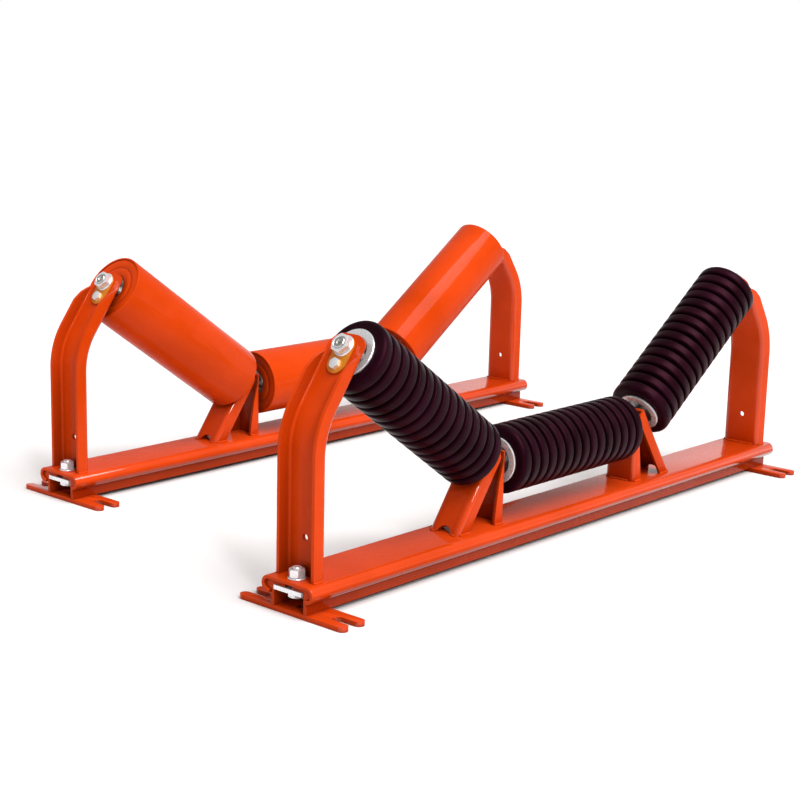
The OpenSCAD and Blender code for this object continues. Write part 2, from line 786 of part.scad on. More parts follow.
at_idler(IMPACT) core_tube(RIGHT);  // core_tube_right
at_idler(IMPACT) discs(LEFT);  // discs_left
at_idler(IMPACT) discs(CENTRE);  // discs_centre
at_idler(IMPACT) discs(RIGHT);  // discs_right
at_idler(IMPACT) end_rings(LEFT);  // end_rings_left
at_idler(IMPACT) end_rings(CENTRE);  // end_rings_centre
at_idler(IMPACT) end_rings(RIGHT);  // end_rings_right
at_idler(IMPACT) impact_housings(LEFT);  // housings_impact_left
at_idler(IMPACT) impact_housings(CENTRE);  // housings_impact_centre
at_idler(IMPACT) impact_housings(RIGHT);  // housings_impact_right
at_idler(IMPACT) outer_rings(LEFT);  // outer_rings_impact_left
at_idler(IMPACT) outer_rings(CENTRE);  // outer_rings_impact_centre
at_idler(IMPACT) outer_rings(RIGHT);  // outer_rings_impact_right
at_idler(IMPACT) cage(LEFT);  // cage_impact_left
at_idler(IMPACT) cage(CENTRE);  // cage_impact_centre
at_idler(IMPACT) cage(RIGHT);  // cage_impact_right
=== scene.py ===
# Troughing idler set: two slide-out trough idlers, one with plain steel rolls and one
# with rubber disc impact rolls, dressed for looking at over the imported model.

import math

import bmesh
import bpy
from mathutils import Matrix, Vector


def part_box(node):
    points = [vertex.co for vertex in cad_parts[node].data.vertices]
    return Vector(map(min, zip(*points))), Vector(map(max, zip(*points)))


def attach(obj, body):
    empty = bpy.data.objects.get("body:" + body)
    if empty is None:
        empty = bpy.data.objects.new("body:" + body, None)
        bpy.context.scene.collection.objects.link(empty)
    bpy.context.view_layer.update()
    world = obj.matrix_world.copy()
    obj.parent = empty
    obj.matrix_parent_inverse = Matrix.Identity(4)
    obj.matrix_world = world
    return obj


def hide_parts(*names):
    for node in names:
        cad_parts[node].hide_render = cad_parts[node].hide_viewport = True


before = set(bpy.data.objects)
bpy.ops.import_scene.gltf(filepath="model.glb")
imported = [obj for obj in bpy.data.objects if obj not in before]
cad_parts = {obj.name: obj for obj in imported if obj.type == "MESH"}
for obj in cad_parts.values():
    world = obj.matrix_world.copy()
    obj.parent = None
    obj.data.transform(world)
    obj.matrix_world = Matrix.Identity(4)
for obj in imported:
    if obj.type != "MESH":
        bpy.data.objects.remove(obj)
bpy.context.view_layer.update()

# ---------- Studio and camera ----------
# A pale floor in a room that darkens upwards. A broad lamp hangs above and in front, and
# a small one beside the camera picks out the folds. The camera is at the left front corner.

studio = bpy.context.scene
studio.view_settings.view_transform = "Standard"

room = bpy.data.worlds.new("pale_room")
room.use_nodes = True
sky = room.node_tree
direction = sky.nodes.new("ShaderNodeTexCoord")
height = sky.nodes.new("ShaderNodeSeparateXYZ")
fade = sky.nodes.new("ShaderNodeValToRGB")
shades = ((0.05, (1, 1, 1, 1)), (0.22, (0.42, 0.41, 0.405, 1)))
for stop, (position, shade) in zip(fade.color_ramp.elements, shades):
    stop.position, stop.color = position, shade
sky.links.new(direction.outputs["Generated"], height.inputs[0])
sky.links.new(height.outputs["Z"], fade.inputs[0])
sky.links.new(fade.outputs[0], sky.nodes["Background"].inputs["Color"])
studio.world = room

for lamp_name, energy, angle, beam in (("key_lamp", 3.6, 40, (0.0, 0.5, -0.86)),
                                       ("front_lamp", 1.0, 9, (0.376, 0.77, -0.517))):
    light = bpy.data.lights.new(lamp_name, "SUN")
    light.energy, light.angle = energy, math.radians(angle)
    lamp = bpy.data.objects.new(lamp_name, light)
    studio.collection.objects.link(lamp)
    lamp.rotation_euler = Vector(beam).to_track_quat("-Z", "Y").to_euler()

floor_mesh = bpy.data.meshes.new("floor")
floor_shape = bmesh.new()
bmesh.ops.create_circle(floor_shape, cap_ends=True, segments=96, radius=60)
floor_shape.to_mesh(floor_mesh)
floor_shape.free()
floor = bpy.data.objects.new("floor", floor_mesh)
studio.collection.objects.link(floor)
floor.location.z = -0.0004
floor_paint = bpy.data.materials.new("pale_floor")
floor_paint.use_nodes = True
floor_look = floor_paint.node_tree.nodes["Principled BSDF"].inputs
floor_look["Base Color"].default_value = (0.80, 0.795, 0.79, 1)
floor_look["Roughness"].default_value = 0.7
floor_mesh.materials.append(floor_paint)

EYE_PLACE, EYE_AHEAD, EYE_TILT = (-2.48945, -2.12239, 0.86487), (0.73355, 0.64685, -0.20850), 1.443
eye = bpy.data.cameras.new("camera")
eye.sensor_width, eye.lens = 36, 74.46
camera = bpy.data.objects.new("camera", eye)
studio.collection.objects.link(camera)
ahead = Vector(EYE_AHEAD).normalized()
level = ahead.cross(Vector((0, 0, 1))).normalized()
upright = level.cross(ahead)
tilt = math.radians(EYE_TILT)
right = math.cos(tilt) * level + math.sin(tilt) * upright
up = math.cos(tilt) * upright - math.sin(tilt) * level
camera.matrix_world = Matrix.Translation(EYE_PLACE) @ Matrix(
    (right, up, -ahead)).transposed().to_4x4()
studio.camera = camera

# ---------- Fixed rails ----------
# Inverted channel of 6 mm plate, one under each idler, its top edges drawn out into
# round-nosed runners that the sliding base hooks round. Welded to its foot plates.

IDLERS = {}  # the middle of each idler's base, on the floor
for idler in ("plain", "impact"):
    low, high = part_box(f"base_{idler}")
    IDLERS[idler] = (Vector(low) + Vector(high)) / 2 * Vector((1, 1, 0))


class Wire:
    """What comes out of a node. Sums and products with it add Math nodes."""

    def __init__(self, finish, socket):
        self.finish, self.socket = finish, socket

    def math(self, operation, *values):
        return self.finish.node("ShaderNodeMath", {"operation": operation}, values)

    def __add__(self, other):
        return self.math("ADD", self, other)

    def __sub__(self, other):
        return self.math("SUBTRACT", self, other)

    def __rsub__(self, other):
        return self.math("SUBTRACT", other, self)

    def __mul__(self, other):
        return self.math("MULTIPLY", self, other)

    __radd__, __rmul__ = __add__, __mul__


class Finish:
    """A material made from nodes round one principled shader."""

    def __init__(self, name, **settings):
        self.material = bpy.data.materials.new(name)
        self.material.use_nodes = True
        self.tree = self.material.node_tree
        self.shader = self.tree.nodes["Principled BSDF"]
        for key, value in settings.items():
            self.feed(key.replace("_", " "), value)
        self.place = self.node("ShaderNodeTexCoord", output="Object")

    def node(self, kind, settings=None, inputs=(), output=0):
        """Adds one node, with its settings first and then its inputs, and gives an output."""
        made = self.tree.nodes.new(kind)
        for key, value in (settings or {}).items():
            if key == "stops":
                stops = made.color_ramp.elements
                while len(stops) < len(value):
                    stops.new(0.5)
                for stop, (position, colour) in zip(stops, value):
                    stop.position, stop.color = position, colour
            else:
                setattr(made, key, value)
        pairs = inputs.items() if isinstance(inputs, dict) else enumerate(inputs)
        for key, value in pairs:
            self.join(made.inputs[key], value)
        return Wire(self, made.outputs[output])

    def join(self, socket, value):
        """Links a wire to a socket, or sets the socket to a value."""
        if isinstance(value, Wire):
            self.tree.links.new(value.socket, socket)
        else:
            socket.default_value = value

    def feed(self, socket, value):
        """Gives the principled shader one of its inputs."""
        self.join(self.shader.inputs[socket], value)

    def noise(self, scale, detail):
        """Noise of so many waves to the metre, from 0 to 1."""
        return self.node("ShaderNodeTexNoise", None, {
            "Vector": self.place, "Scale": scale, "Detail": detail})

    def mix(self, amount, first, second):
        """Two colours mixed by an amount from 0 to 1."""
        return self.node("ShaderNodeMix", {"data_type": "RGBA"},
                         {0: amount, 6: first, 7: second}, 2)

    def steps(self, value, low, high):
        """A value stretched so that low gives 0 and high gives 1."""
        return self.node("ShaderNodeMapRange", None, [value, low, high])

    def ridges(self, height, strength, distance):
        """Raises the surface by a height from 0 to 1, times a distance in metres."""
        self.feed("Normal", self.node("ShaderNodeBump", None, {
            "Height": height, "Strength": strength, "Distance": distance}))


def glossy_paint(name, colour, sheen):
    """Sprayed gloss paint: orange peel, worn edges, painted shade in nooks and a sheen where it
    lies flat.
    """
    finish = Finish(name, Coat_Roughness=0.04, Coat_IOR=1.5, Specular_IOR_Level=0.04,
                    Specular_Tint=(1.0, 0.4, 0.12, 1))
    # clouds in the colour, paler where a rim is rubbed
    deep = tuple(0.86 * c for c in colour) + (1,)
    light = tuple(min(1, 1.05 * c + 0.004) for c in colour) + (1,)
    cloud = finish.noise(7.0, 4)
    body = finish.mix(finish.steps(cloud, 0.32, 0.68), deep, light)
    rim = finish.node("ShaderNodeAttribute", {"attribute_name": "rim"}, output="Fac")
    rubbed = finish.mix(rim * finish.steps(finish.noise(38.0, 3), 0.35, 0.7) * 0.55, body,
                        tuple(min(1, 1.25 * c + 0.03) for c in colour) + (1,))
    # chips on the rims and a few specks, down to rusty steel
    chip = rim * finish.steps(finish.noise(140.0, 5), 0.70, 0.715)
    speck = finish.steps(finish.noise(75.0, 6), 0.80, 0.81)
    worn = finish.node("ShaderNodeClamp", None, [chip + speck])
    # painted shade in the nooks, from ambient occlusion, unless they face up
    facing = finish.node("ShaderNodeSeparateXYZ", None,
                         [finish.node("ShaderNodeNewGeometry", output="Normal")], "Z")
    level = finish.steps(facing, 0.5, 0.95)
    nook = finish.node("ShaderNodeAmbientOcclusion", {"samples": 6}, {"Distance": 0.2}, "AO")
    # the painted shade darkens the paint colour to a fifth where the occlusion is deep
    painted_shade = finish.steps(nook, 0.66, 0.3) * (1.0 - level) * 0.75
    shaded = finish.mix(painted_shade, rubbed, tuple(0.2 * c for c in colour) + (1,))
    finish.feed("Base Color", finish.mix(worn, shaded, (0.075, 0.035, 0.025, 1)))
    # smears in the gloss, a clear coat on level faces and outer folds, and orange peel
    smear = finish.steps(finish.noise(22.0, 4), 0.0, 1.0)
    finish.feed("Roughness", smear * 0.16 + 0.2 + worn * 0.35)
    fold = finish.node("ShaderNodeAttribute", {"attribute_name": "fold"}, output="Fac")
    finish.feed("Coat Weight", (level * sheen + fold * 0.7 + 0.09) * (1.0 - worn))
    peel = finish.noise(260.0, 1) * 0.5 + finish.noise(60.0, 1)
    finish.ridges(peel - worn * 0.8, 0.12, 0.0003)
    return finish.material


ORANGE = (0.55, 0.042, 0.001)
frame_paint = glossy_paint("frame_paint", ORANGE, 0.33)


def rounded_face(bm, corners, segments=6):
    """A flat face from its corners, each a point and the radius that rounds it."""
    verts = [bm.verts.new(point) for point, radius in corners]
    bm.faces.new(verts)
    for vert, (point, radius) in zip(verts, corners):
        if radius:
            bmesh.ops.bevel(bm, geom=[vert], offset=radius, offset_type="OFFSET",
                            segments=segments, profile=0.5, affect="VERTICES",
                            material=-1, clamp_overlap=False)
    bm.faces.ensure_lookup_table()
    return bm.faces[-1]


def pushed(bm, face, along):
    """Extrudes a face by a vector and gives the new end face."""
    grown = bmesh.ops.extrude_face_region(
        bm, geom=[face] + face.edges[:] + face.verts[:])["geom"]
    bmesh.ops.translate(bm, vec=along,
                        verts=[g for g in grown if isinstance(g, bmesh.types.BMVert)])
    return next(g for g in grown if isinstance(g, bmesh.types.BMFace))


def softened(bm, size, angle=40):
    """Breaks every edge sharper than an angle, and marks the new strips and outer folds."""
    rim = bm.loops.layers.float.get("rim") or bm.loops.layers.float.new("rim")
    fold = bm.loops.layers.float.get("fold") or bm.loops.layers.float.new("fold")
    bmesh.ops.recalc_face_normals(bm, faces=bm.faces)
    for face in bm.faces:
        outward = face.normal.y if face.calc_center_median().y >= 0 else -face.normal.y
        if 0.1 < outward < 0.97:
            for loop in face.loops:
                loop[fold] = 1.0
    sharp = [e for e in bm.edges if e.is_manifold and e.calc_face_angle() > math.radians(angle)]
    cut = bmesh.ops.bevel(bm, geom=sharp, offset=size, offset_type="OFFSET", affect="EDGES",
                          segments=2, profile=0.5, material=-1, clamp_overlap=True)
    for face in cut["faces"]:
        for loop in face.loops:
            loop[rim] = 1.0


def piece(name, bm, idler, body, materials, nodes):
    """Makes a finished shape, in millimetres round its idler's centre, a piece of the model."""
    bmesh.ops.transform(bm, matrix=Matrix.Translation(IDLERS[idler]) @ Matrix.Scale(0.001, 4),
                        verts=bm.verts)
    bmesh.ops.remove_doubles(bm, verts=bm.verts, dist=1e-6)
    bmesh.ops.recalc_face_normals(bm, faces=bm.faces)
    mesh = bpy.data.meshes.new(name)
    bm.to_mesh(mesh)
    bm.free()
    mesh.polygons.foreach_set("use_smooth", [True] * len(mesh.polygons))
    mesh.set_sharp_from_angle(angle=math.radians(38))
    for material in materials:
        mesh.materials.append(material)
    made = bpy.data.objects.new(name, mesh)
    studio.collection.objects.link(made)
    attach(made, body)
    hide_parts(*nodes)


RAIL_LEN, RAIL_TOP, RAIL_UNDER, FOOT_TOP = 1392, 50, 44, 8
LEG_OUT, LEG_IN = 38, 32
RUNNER_Y, RUNNER_Z, RUNNER_R = 50.2, 34.6, 7.6
NOTCH_X, NOTCH_Y = -669.6, 8.4
for idler in IDLERS:
    bm = bmesh.new()
    half = [(LEG_OUT, FOOT_TOP, 0), (LEG_OUT, RUNNER_Z, 0),
            (RUNNER_Y, RUNNER_Z, RUNNER_R), (RUNNER_Y, RAIL_TOP, RUNNER_R)]
    section = half + [(-y, z, r) for y, z, r in reversed(half)]
    section += [(-LEG_IN, FOOT_TOP, 0), (-LEG_IN, RAIL_UNDER, 1.5),
                (LEG_IN, RAIL_UNDER, 1.5), (LEG_IN, FOOT_TOP, 0)]
    end = rounded_face(bm, [(Vector((-RAIL_LEN / 2, y, z)), r) for y, z, r in section])
    pushed(bm, end, (RAIL_LEN, 0, 0))
    # three cuts mark out the clamp bolt's notch in the top of the left end
    for y in (-NOTCH_Y, NOTCH_Y):
        bmesh.ops.bisect_plane(bm, geom=bm.verts[:] + bm.edges[:] + bm.faces[:],
                               plane_co=(0, y, 0), plane_no=(0, 1, 0))
    bmesh.ops.bisect_plane(bm, geom=bm.verts[:] + bm.edges[:] + bm.faces[:],
                           plane_co=(NOTCH_X, 0, 0), plane_no=(1, 0, 0))
    notch = [f for f in bm.faces if abs(f.calc_center_median().y) < NOTCH_Y - 0.1
             and f.calc_center_median().x < NOTCH_X - 0.1
             and f.calc_center_median().z > RAIL_UNDER - 1]
    bmesh.ops.delete(bm, geom=notch, context="FACES")
    walls = [e for e in bm.edges if e.is_boundary
             and not all(v.co.x < -RAIL_LEN / 2 + 0.1 for v in e.verts)]
    bmesh.ops.bridge_loops(bm, edges=walls)
    softened(bm, 0.8)
    piece(f"rail_dressed_{idler}", bm, idler, "rails", [frame_paint],
          [f"rail_{idler}"])

# ---------- Foot plates ----------
# Flat bar cut to length, with an open slot at both ends for the holding-down bolts and
# a hole in the middle. The rail's legs are welded across them.

FOOT_X, FOOT_HALF, FOOT_Y, NOSE_R, FOOT_HOLE = 668, 27.5, 115.9, 9.2, 7
SLOT_HALF, SLOT_Y, SLOT_R = 9, 70, 8.9


def drilled(bm, centre, axis, radius):
    """Opens a round hole through the two faces that lie across an axis at a point."""
    axis, centre = Vector(axis), Vector(centre)
    turn = axis.to_track_quat("Z", "Y").to_matrix().to_4x4()

    def depth_of(face):
        """How far along the axis a face lies from the point."""
        return (face.calc_center_median() - centre).dot(axis)

    pierced = [f for f in bm.faces if abs(f.normal.dot(axis)) > 0.99 and
               bmesh.geometry.intersect_face_point(f, centre + axis * depth_of(f))]
    rims = []
    for face in sorted(pierced, key=lambda f: abs(depth_of(f)))[:2]:
        ring = bmesh.ops.create_circle(
            bm, cap_ends=False, segments=24, radius=radius,
            matrix=Matrix.Translation(centre + axis * depth_of(face)) @ turn)
        circle = list(dict.fromkeys(e for v in ring["verts"] for e in v.link_edges))
        border = face.edges[:]
        bmesh.ops.delete(bm, geom=[face], context="FACES_ONLY")
        bmesh.ops.triangle_fill(bm, edges=border + circle, use_dissolve=True)
        rims += circle
    bmesh.ops.bridge_loops(bm, edges=rims)


for idler in IDLERS:
    bm = bmesh.new()
    for side in (-1, 1):
        prongs = [(FOOT_HALF, FOOT_Y, NOSE_R), (SLOT_HALF, FOOT_Y, NOSE_R),
                  (SLOT_HALF, SLOT_Y, SLOT_R), (-SLOT_HALF, SLOT_Y, SLOT_R),
                  (-SLOT_HALF, FOOT_Y, NOSE_R), (-FOOT_HALF, FOOT_Y, NOSE_R)]
        prongs += [(-x, -y, r) for x, y, r in prongs]
        plate = rounded_face(bm, [(Vector((side * FOOT_X + x, y, 0)), r) for x, y, r in prongs])
        pushed(bm, plate, (0, 0, FOOT_TOP))
    bmesh.ops.recalc_face_normals(bm, faces=bm.faces)
    for side in (-1, 1):
        drilled(bm, (side * FOOT_X, 0, FOOT_TOP / 2), (0, 0, 1), FOOT_HOLE)
    softened(bm, 0.8)
    piece(f"feet_dressed_{idler}", bm, idler, "rails", [frame_paint],
          [f"feet_{idler}"])

# ---------- Sliding bases ----------
# One wide strip of 6 mm plate for each idler, its long edges rolled down and under in a
# brake so that they hook round the rail's runners. It carries all the stands.

PLATE = 6
BASE_HALF, BASE_Y, BASE_Z, BASE_R = 700, 56.5, 56.3, 13.95
HOOK_Y, HOOK_Z = 39.5, 28.3
for idler in IDLERS:
    bm = bmesh.new()
    curl = [(BASE_Y, BASE_Z, BASE_R), (BASE_Y, HOOK_Z, BASE_R), (HOOK_Y, HOOK_Z, 0),
            (HOOK_Y, HOOK_Z + PLATE, 0), (BASE_Y - PLATE, HOOK_Z + PLATE, BASE_R - PLATE),
            (BASE_Y - PLATE, BASE_Z - PLATE, BASE_R - PLATE)]
    section = curl + [(-y, z, r) for y, z, r in reversed(curl)]
    end = rounded_face(bm, [(Vector((-BASE_HALF, y, z)), r) for y, z, r in section], 8)
    pushed(bm, end, (2 * BASE_HALF, 0, 0))
    softened(bm, 0.7, 50)
    piece(f"base_dressed_{idler}", bm, idler, f"frame_{idler}",
          [frame_paint], [f"base_{idler}"])

# ---------- End stands ----------
# Pressed channels of 6 mm plate, upright from the base and then bent inwards over the
# trough. The back is square to the roll's shaft, and the flanges run out along a crown.

TROUGH = math.radians(35)
COS, SIN = math.cos(TROUGH), math.sin(TROUGH)
# a wing roll's inner end, and how far from it along the shaft its stand's back is
WING_X, WING_Z, STAND_OUT = 253.5, 180.8, 390
TOP_X, TOP_Z = WING_X + STAND_OUT * COS, WING_Z + STAND_OUT * SIN
STAND_HALF, STAND_FLANGE, FOLD = 41, 28, 11
STAND_X, BEND_X, BEND_R = 655, 535, 120
BEND_Z = TOP_Z - (BEND_R - (TOP_X - BEND_X) * COS) / SIN
TIP_AXIS = -(TOP_X - BEND_X) * SIN + (TOP_Z - BEND_Z) * COS
# the arc that the flanges run out along; the tip is rounded from just below the shaft
CROWN_X, CROWN_Z, CROWN_R = 553, 273.4, 130
TIP_R, TIP_DROP = 30, 6
BEAD_R, BEAD_Z = 2.4, BASE_Z + 0.6
HOLE_Z, HOLE_R = BASE_Z + 62, 5.5


def channel_face(bm, half, depth, lie, fold=FOLD):
    """A folded channel's section, laid in place by a function of its depth and its y."""
    corners = [(depth, half, 0), (0, half, fold), (0, -half, fold), (depth, -half, 0),
               (depth, PLATE - half, 0), (PLATE, PLATE - half, fold - PLATE),
               (PLATE, half - PLATE, fold - PLATE), (depth, half - PLATE, 0)]
    return rounded_face(bm, [(lie(d, y), r) for d, y, r in corners])


def trimmed(depth, across, reach, half, fold=FOLD):
    """Where a point of a folded section goes when its flanges are cut back to a reach."""
    if depth <= reach:
        return depth, across
    core = half - fold
    inside = math.hypot(max(fold - depth, 0), abs(across) - core) < fold - PLATE / 2
    bend = fold - PLATE if inside else fold
    if reach < fold:
        across = math.copysign(core + math.sqrt(max(0, bend ** 2 - (fold - reach) ** 2)), across)
    return reach, across


def crown_reach(foot, out):
    """How deep the flanges are where the section's back is at a foot and faces out."""
    level_reach = (STAND_X + STAND_FLANGE - foot.x) / out.x
    if (foot + out * level_reach).z <= CROWN_Z:
        return level_reach
    from_centre = foot - Vector((CROWN_X, 0, CROWN_Z))
    b = from_centre.dot(out)
    return max(PLATE, -b + math.sqrt(b * b - from_centre.length_squared + CROWN_R ** 2))


def weld(bm, start, end):
    """A hand-laid bead between two points, swelling and narrowing in ripples."""
    start, end = Vector(start), Vector(end)
    ripples = max(2, round((end - start).length / 2.5))
    step = (end - start) / ripples
    turn = step.to_track_quat("Z", "Y").to_matrix().to_4x4()
    ring = bmesh.ops.create_circle(bm, cap_ends=True, segments=10, radius=BEAD_R * 0.6,
                                   matrix=Matrix.Translation(start) @ turn)["verts"]
    cap = ring[0].link_faces[0]
    for ripple in range(ripples):
        cap = pushed(bm, cap, step)
        centre = cap.calc_center_median()
        swell = BEAD_R * (0.6 if ripple == ripples - 1 else 1.1 if ripple % 2 else 0.92)
        for vert in cap.verts:
            vert.co = centre + (vert.co - centre).normalized() * swell


for idler in IDLERS:
    for side, hand in ((-1, "left"), (1, "right")):
        bm = bmesh.new()
        foot_face = channel_face(bm, STAND_HALF, STAND_FLANGE,
                                 lambda d, y: Vector((STAND_X + d, y, BASE_Z)))
        top = pushed(bm, foot_face, (0, 0, BEND_Z - BASE_Z))
        bent = bmesh.ops.spin(bm, geom=[top] + top.edges[:] + top.verts[:], axis=(0, -1, 0),
                              cent=(BEND_X, 0, BEND_Z), angle=TROUGH, steps=14)
        top = next(g for g in bent["geom_last"] if isinstance(g, bmesh.types.BMFace))
        lean, at = Vector((-SIN, 0, COS)), 0
        stops = [TIP_AXIS * part for part in (0.25, 0.5, 0.7, 0.8, 0.88)]
        stops += [TIP_AXIS - TIP_DROP + TIP_R * math.sin(math.radians(a))
                  for a in range(0, 91, 10)]
        for stop in stops:
            top = pushed(bm, top, lean * (stop - at))
            at = stop
        along_shaft = Vector((COS, 0, SIN))
        for vert in bm.verts:
            reach_in = vert.co - Vector((BEND_X, vert.co.y, BEND_Z))
            up_lean = reach_in.dot(lean)
            if reach_in.z <= 0:
                foot, out = Vector((STAND_X, 0, vert.co.z)), Vector((1, 0, 0))
            elif up_lean <= 1e-4:
                out = reach_in.normalized()
                foot = Vector((BEND_X, 0, BEND_Z)) + out * BEND_R
            else:
                out = along_shaft
                foot = Vector((BEND_X, 0, BEND_Z)) + out * BEND_R + lean * up_lean
            depth = (vert.co - foot).dot(out)
            depth, across = trimmed(depth, vert.co.y, crown_reach(foot, out), STAND_HALF)
            past = up_lean - TIP_AXIS + TIP_DROP
            if past > 0 and reach_in.z > 0:
                half = STAND_HALF - TIP_R + math.sqrt(max(0, TIP_R ** 2 - past * past))
                across = max(-half, min(half, across))
            vert.co = foot + out * depth + Vector((0, across, 0))
        bmesh.ops.remove_doubles(bm, verts=bm.verts, dist=1e-3)
        bmesh.ops.dissolve_degenerate(bm, dist=1e-3, edges=bm.edges)
        bmesh.ops.recalc_face_normals(bm, faces=bm.faces)
        drilled(bm, (STAND_X + PLATE / 2, 0, HOLE_Z), (1, 0, 0), HOLE_R)
        softened(bm, 0.9, 50)
        for y in (-STAND_HALF - 0.4, STAND_HALF + 0.4):
            weld(bm, (STAND_X + PLATE, y, BEAD_Z), (STAND_X + STAND_FLANGE, y, BEAD_Z))
        weld(bm, (STAND_X - 0.4, -31, BEAD_Z), (STAND_X - 0.4, 31, BEAD_Z))
        bmesh.ops.transform(bm, matrix=Matrix.Diagonal((side, 1, 1, 1)), verts=bm.verts)
        piece(f"end_stand_dressed_{hand}_{idler}", bm, idler, f"frame_{idler}",
              [frame_paint], [f"end_stand_{hand}_{idler}"])

# ---------- Sloped legs ----------
# Channels that lean square to the wing rolls and hold their inner shaft ends. Each is cut
# level on the base and welded, with a half-round drain opening at its foot.

LEG_HALF, LEG_FOLD, DRAIN = 32, 8, 15
# the gap from a roll to its leg's back, and the leg's reach above and below the shaft
LEG_GAP, LEG_TOP, LEG_RUN, WING_FLANGE, CORNER_R = 10, 24, 260, 26, 12


def drained(bm, centre, up):
    """Raises a plate's cut foot into a half-round opening about a point on its face."""
    for angle in range(-90, 91, 30):
        across = DRAIN * math.sin(math.radians(angle))
        bmesh.ops.bisect_plane(bm, geom=bm.verts[:] + bm.edges[:] + bm.faces[:],
                               plane_co=(0, across, 0), plane_no=(0, 1, 0))
    for vert in bm.verts:
        if abs(vert.co.z - BASE_Z) < 0.01 and abs(vert.co.y) < DRAIN:
            arc = math.sqrt(DRAIN ** 2 - vert.co.y ** 2)
            vert.co += up * max(0, arc - (vert.co - centre).dot(up))


for idler in IDLERS:
    bm = bmesh.new()
    for side in (-1, 1):
        leg = bmesh.new()
        across_roll = Matrix.Translation((WING_X, 0, WING_Z)) @ Matrix.Rotation(-TROUGH, 4, "Y")
        foot = channel_face(leg, LEG_HALF, WING_FLANGE,
                            lambda d, y: Vector((-LEG_GAP - d, y, -LEG_RUN)), LEG_FOLD)
        pushed(leg, foot, (0, 0, LEG_RUN + LEG_TOP))
        flange_x = -LEG_GAP - WING_FLANGE
        top_corners = [e for e in leg.edges if all(v.co.z > LEG_TOP - 0.1 for v in e.verts)
                       and all(abs(v.co.x - flange_x) < 0.1 for v in e.verts)]
        bmesh.ops.bevel(leg, geom=top_corners, offset=CORNER_R, offset_type="OFFSET",
                        affect="EDGES", segments=5, profile=0.5, material=-1,
                        clamp_overlap=False)
        bmesh.ops.transform(leg, matrix=across_roll, verts=leg.verts)
        bmesh.ops.bisect_plane(leg, geom=leg.verts[:] + leg.edges[:] + leg.faces[:],
                               plane_co=(0, 0, BASE_Z), plane_no=(0, 0, 1), clear_inner=True)
        bmesh.ops.holes_fill(leg, edges=[e for e in leg.edges if e.is_boundary], sides=0)
        foot_x = WING_X - LEG_GAP * COS + (WING_Z - LEG_GAP * SIN - BASE_Z) * SIN / COS
        drained(leg, Vector((foot_x, 0, BASE_Z)), Vector((-SIN, 0, COS)))
        bmesh.ops.recalc_face_normals(leg, faces=leg.faces)
        softened(leg, 0.8, 50)
        for y in (-28, 17):
            weld(leg, (foot_x + 0.4, y, BEAD_Z), (foot_x + 0.4, y + 11, BEAD_Z))
        for y in (-LEG_HALF - 0.3, LEG_HALF + 0.3):
            weld(leg, (foot_x - 36, y, BEAD_Z), (foot_x - 6, y, BEAD_Z))
        bmesh.ops.transform(leg, matrix=Matrix.Diagonal((side, 1, 1, 1)), verts=leg.verts)
        whole = bpy.data.meshes.new("leg")
        leg.to_mesh(whole)
        bm.from_mesh(whole)
        leg.free()
    piece(f"wing_legs_dressed_{idler}", bm, idler, f"frame_{idler}",
          [frame_paint], [f"wing_legs_{idler}"])

# ---------- Upright legs ----------
# Channels that stand beside the centre roll and hold its shaft. Their backs face the
# roll, and their flanges narrow upwards to clear the sloped legs. Welded to the base.

AXIS_Z, BACK_X = 161.3, 200
# how deep the flanges are at each height
REACHES = ((BASE_Z, 28), (99, 22), (128, 17.5), (152, 11), (166, 7), (AXIS_Z + 24, 7))
for idler in IDLERS:
    bm = bmesh.new()
    for side in (-1, 1):
        before = set(bm.verts)
        top = channel_face(bm, LEG_HALF, REACHES[0][1],
                           lambda d, y: Vector((BACK_X + d, y, BASE_Z)), LEG_FOLD)
        for lower, upper in zip(REACHES, REACHES[1:]):
            top = pushed(bm, top, (0, 0, upper[0] - lower[0]))
        for vert in set(bm.verts) - before:
            height = vert.co.z
            reach = min(REACHES, key=lambda step: abs(step[0] - height))[1]
            depth, across = trimmed(vert.co.x - BACK_X, vert.co.y, reach, LEG_HALF, LEG_FOLD)
            vert.co = (side * (BACK_X + depth), across, height)
    bmesh.ops.remove_doubles(bm, verts=bm.verts, dist=1e-3)
    bmesh.ops.dissolve_degenerate(bm, dist=1e-3, edges=bm.edges)
    softened(bm, 0.8, 50)
    for side in (-1, 1):
        bead_x = side * (BACK_X - 0.4)
        weld(bm, (bead_x, -22, BEAD_Z), (bead_x, 22, BEAD_Z))
        for y in (-LEG_HALF - 0.3, LEG_HALF + 0.3):
            weld(bm, (side * (BACK_X + 5), y, BEAD_Z), (side * (BACK_X + 27), y, BEAD_Z))
    piece(f"centre_legs_dressed_{idler}", bm, idler, f"frame_{idler}",
          [frame_paint], [f"centre_legs_{idler}"])

# ---------- Shafts ----------
# Bright drawn bar turned down and threaded at both ends, with a centre hole in each end
# from the lathe. It is fixed in the stands, and the roll turns on it.

ROLLS, ROLL_LEN = ("left", "centre", "right"), 380


def placed(roll):
    """Where a roll's own frame is: its Z runs along the axis from the left or inner end."""
    if roll == "centre":
        inner_end = Matrix.Translation((-ROLL_LEN / 2, 0, AXIS_Z))
        return inner_end @ Matrix.Rotation(math.pi / 2, 4, "Y")
    wing = Matrix.Translation((WING_X, 0, WING_Z)) @ Matrix.Rotation(math.pi / 2 - TROUGH, 4, "Y")
    return Matrix.Diagonal((-1 if roll == "left" else 1, 1, 1, 1)) @ wing


